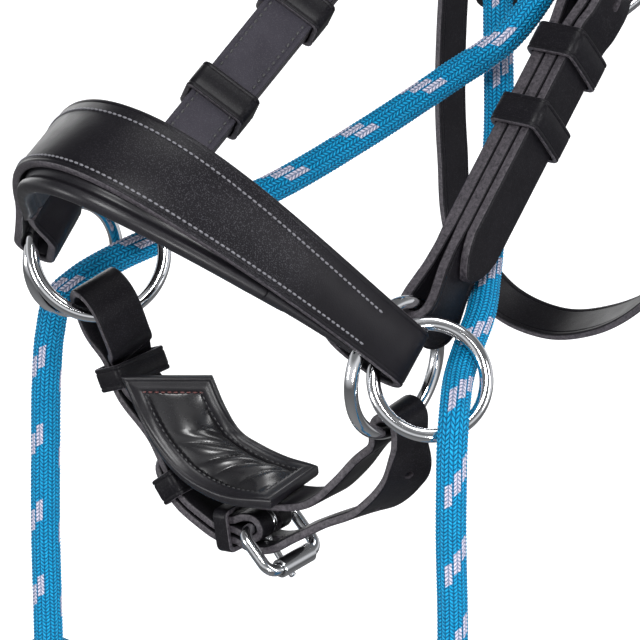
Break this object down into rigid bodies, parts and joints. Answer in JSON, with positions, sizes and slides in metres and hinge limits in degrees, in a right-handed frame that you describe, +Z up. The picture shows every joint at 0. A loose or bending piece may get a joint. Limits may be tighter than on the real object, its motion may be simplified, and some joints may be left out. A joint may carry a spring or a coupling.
{
  "type": "bitless bridle",
  "caption": "Leather cross-under bitless bridle with padded noseband, padded chin strap, rings and braided cross-under ropes, hung from its crownpiece.",
  "frame": {"origin": "middle of the crownpiece's flat underside, where it rests on the horse's poll", "axes": "+X towards the horse's near (left) side, -Y forward towards the nose, +Z up"},
  "size_m": [0.2455, 0.3652, 0.6782],
  "materials": {
    "ring_steel": "polished stainless wire",
    "buckle_steel": "polished cast buckle, lightly worn",
    "strap_leather": "smooth black bridle leather with white-grey stitching",
    "lining_leather": "soft black leather over padding",
    "pad_satin": "black satin cloth with a piped leather border",
    "rope_braid": "blue round braid with paired white and pink flecks",
    "tie_webbing": "black woven tie",
    "end_cap_plastic": "black sleeve over the rope's end"
  },
  "bodies": {
    "bridle": {"noseband": "strap_leather", "cheek_strap_near": "strap_leather", "cheek_strap_far": "strap_leather", "crownpiece": "strap_leather", "browband": "strap_leather", "throatlatch": "strap_leather", "throat_billet": "strap_leather", "chin_strap": "strap_leather", "cross_strap_near": "strap_leather", "cross_strap_far": "strap_leather", "noseband_lining": "lining_leather", "chin_pad": "pad_satin", "cheek_near_buckle": "buckle_steel", "cheek_far_buckle": "buckle_steel", "throat_buckle": "buckle_steel", "chin_buckle": "buckle_steel", "cheek_keeper_near": "strap_leather", "cheek_keeper_far": "strap_leather", "throat_keeper": "strap_leather", "chin_keeper_far": "strap_leather", "chin_keeper_mid": "strap_leather", "chin_keeper_low": "strap_leather", "chin_pad_loop": "strap_leather", "rope_far": "rope_braid", "rope_near": "rope_braid", "rope_hank_far": "rope_braid", "rope_hank_near": "rope_braid", "rope_tie_far": "tie_webbing", "rope_tie_near": "tie_webbing", "rope_end_far": "end_cap_plastic", "rope_end_near": "end_cap_plastic"},
    "chin_ring_near": {"chin_ring_near": "ring_steel"},
    "rein_ring_near": {"rein_ring_near": "ring_steel"},
    "chin_ring_far": {"chin_ring_far": "ring_steel"},
    "rein_ring_far": {"rein_ring_far": "ring_steel"},
    "cheek_near_prong": {"cheek_near_prong": "buckle_steel"},
    "cheek_far_prong": {"cheek_far_prong": "buckle_steel"},
    "throat_prong": {"throat_prong": "buckle_steel"},
    "chin_prong": {"chin_prong": "buckle_steel"},
    "chin_roller": {"chin_roller": "buckle_steel"},
    "cheek_runner_near": {"cheek_runner_near": "strap_leather"},
    "cheek_runner_far": {"cheek_runner_far": "strap_leather"}
  },
  "joints": [
    {"name": "chin_ring_near_spin", "type": "hinge", "parent": "bridle", "child": "chin_ring_near", "pos_m": [0.0738, -0.2553, -0.20717], "axis": [1, 0, 0], "continuous": true},
    {"name": "rein_ring_near_spin", "type": "hinge", "parent": "bridle", "child": "rein_ring_near", "pos_m": [0.0912, -0.25689, -0.20605], "axis": [0.5971, -0.5471, 0.5867], "continuous": true},
    {"name": "chin_ring_far_spin", "type": "hinge", "parent": "bridle", "child": "chin_ring_far", "pos_m": [-0.06, -0.26152, -0.19903], "axis": [0.5971, -0.5471, 0.5867], "continuous": true},
    {"name": "rein_ring_far_spin", "type": "hinge", "parent": "bridle", "child": "rein_ring_far", "pos_m": [-0.0807, -0.2523, -0.21038], "axis": [0.968, -0.171, 0.1834], "continuous": true},
    {"name": "cheek_near_prong_lift", "type": "hinge", "parent": "bridle", "child": "cheek_near_prong", "pos_m": [0.05993, -0.13009, -0.11281], "axis": [0.0005, 0.6019, -0.7985], "range_deg": [0, 14]},
    {"name": "cheek_far_prong_lift", "type": "hinge", "parent": "bridle", "child": "cheek_far_prong", "pos_m": [-0.05396, -0.13764, -0.12346], "axis": [-0.8078, -0.2785, 0.5196], "range_deg": [0, 14]},
    {"name": "throat_prong_lift", "type": "hinge", "parent": "bridle", "child": "throat_prong", "pos_m": [0.07, -0.04756, -0.12205], "axis": [0, 1, 0], "range_deg": [0, 18]},
    {"name": "chin_prong_lift", "type": "hinge", "parent": "bridle", "child": "chin_prong", "pos_m": [0.0185, -0.26056, -0.28305], "axis": [-0.0395, 0.9992, -0.0064], "range_deg": [0, 10]},
    {"name": "chin_roller_spin", "type": "hinge", "parent": "bridle", "child": "chin_roller", "pos_m": [0.03155, -0.26012, -0.2953], "axis": [-0.0395, 0.9992, -0.0064], "continuous": true},
    {"name": "cheek_runner_near_slide", "type": "slide", "parent": "bridle", "child": "cheek_runner_near", "axis": [-0.1039, 0.7943, 0.5986], "range_m": [-0.04, 0.014]},
    {"name": "cheek_runner_far_slide", "type": "slide", "parent": "bridle", "child": "cheek_runner_far", "axis": [0.025, 0.8643, 0.5023], "range_m": [-0.016, 0.03]}
  ]
}
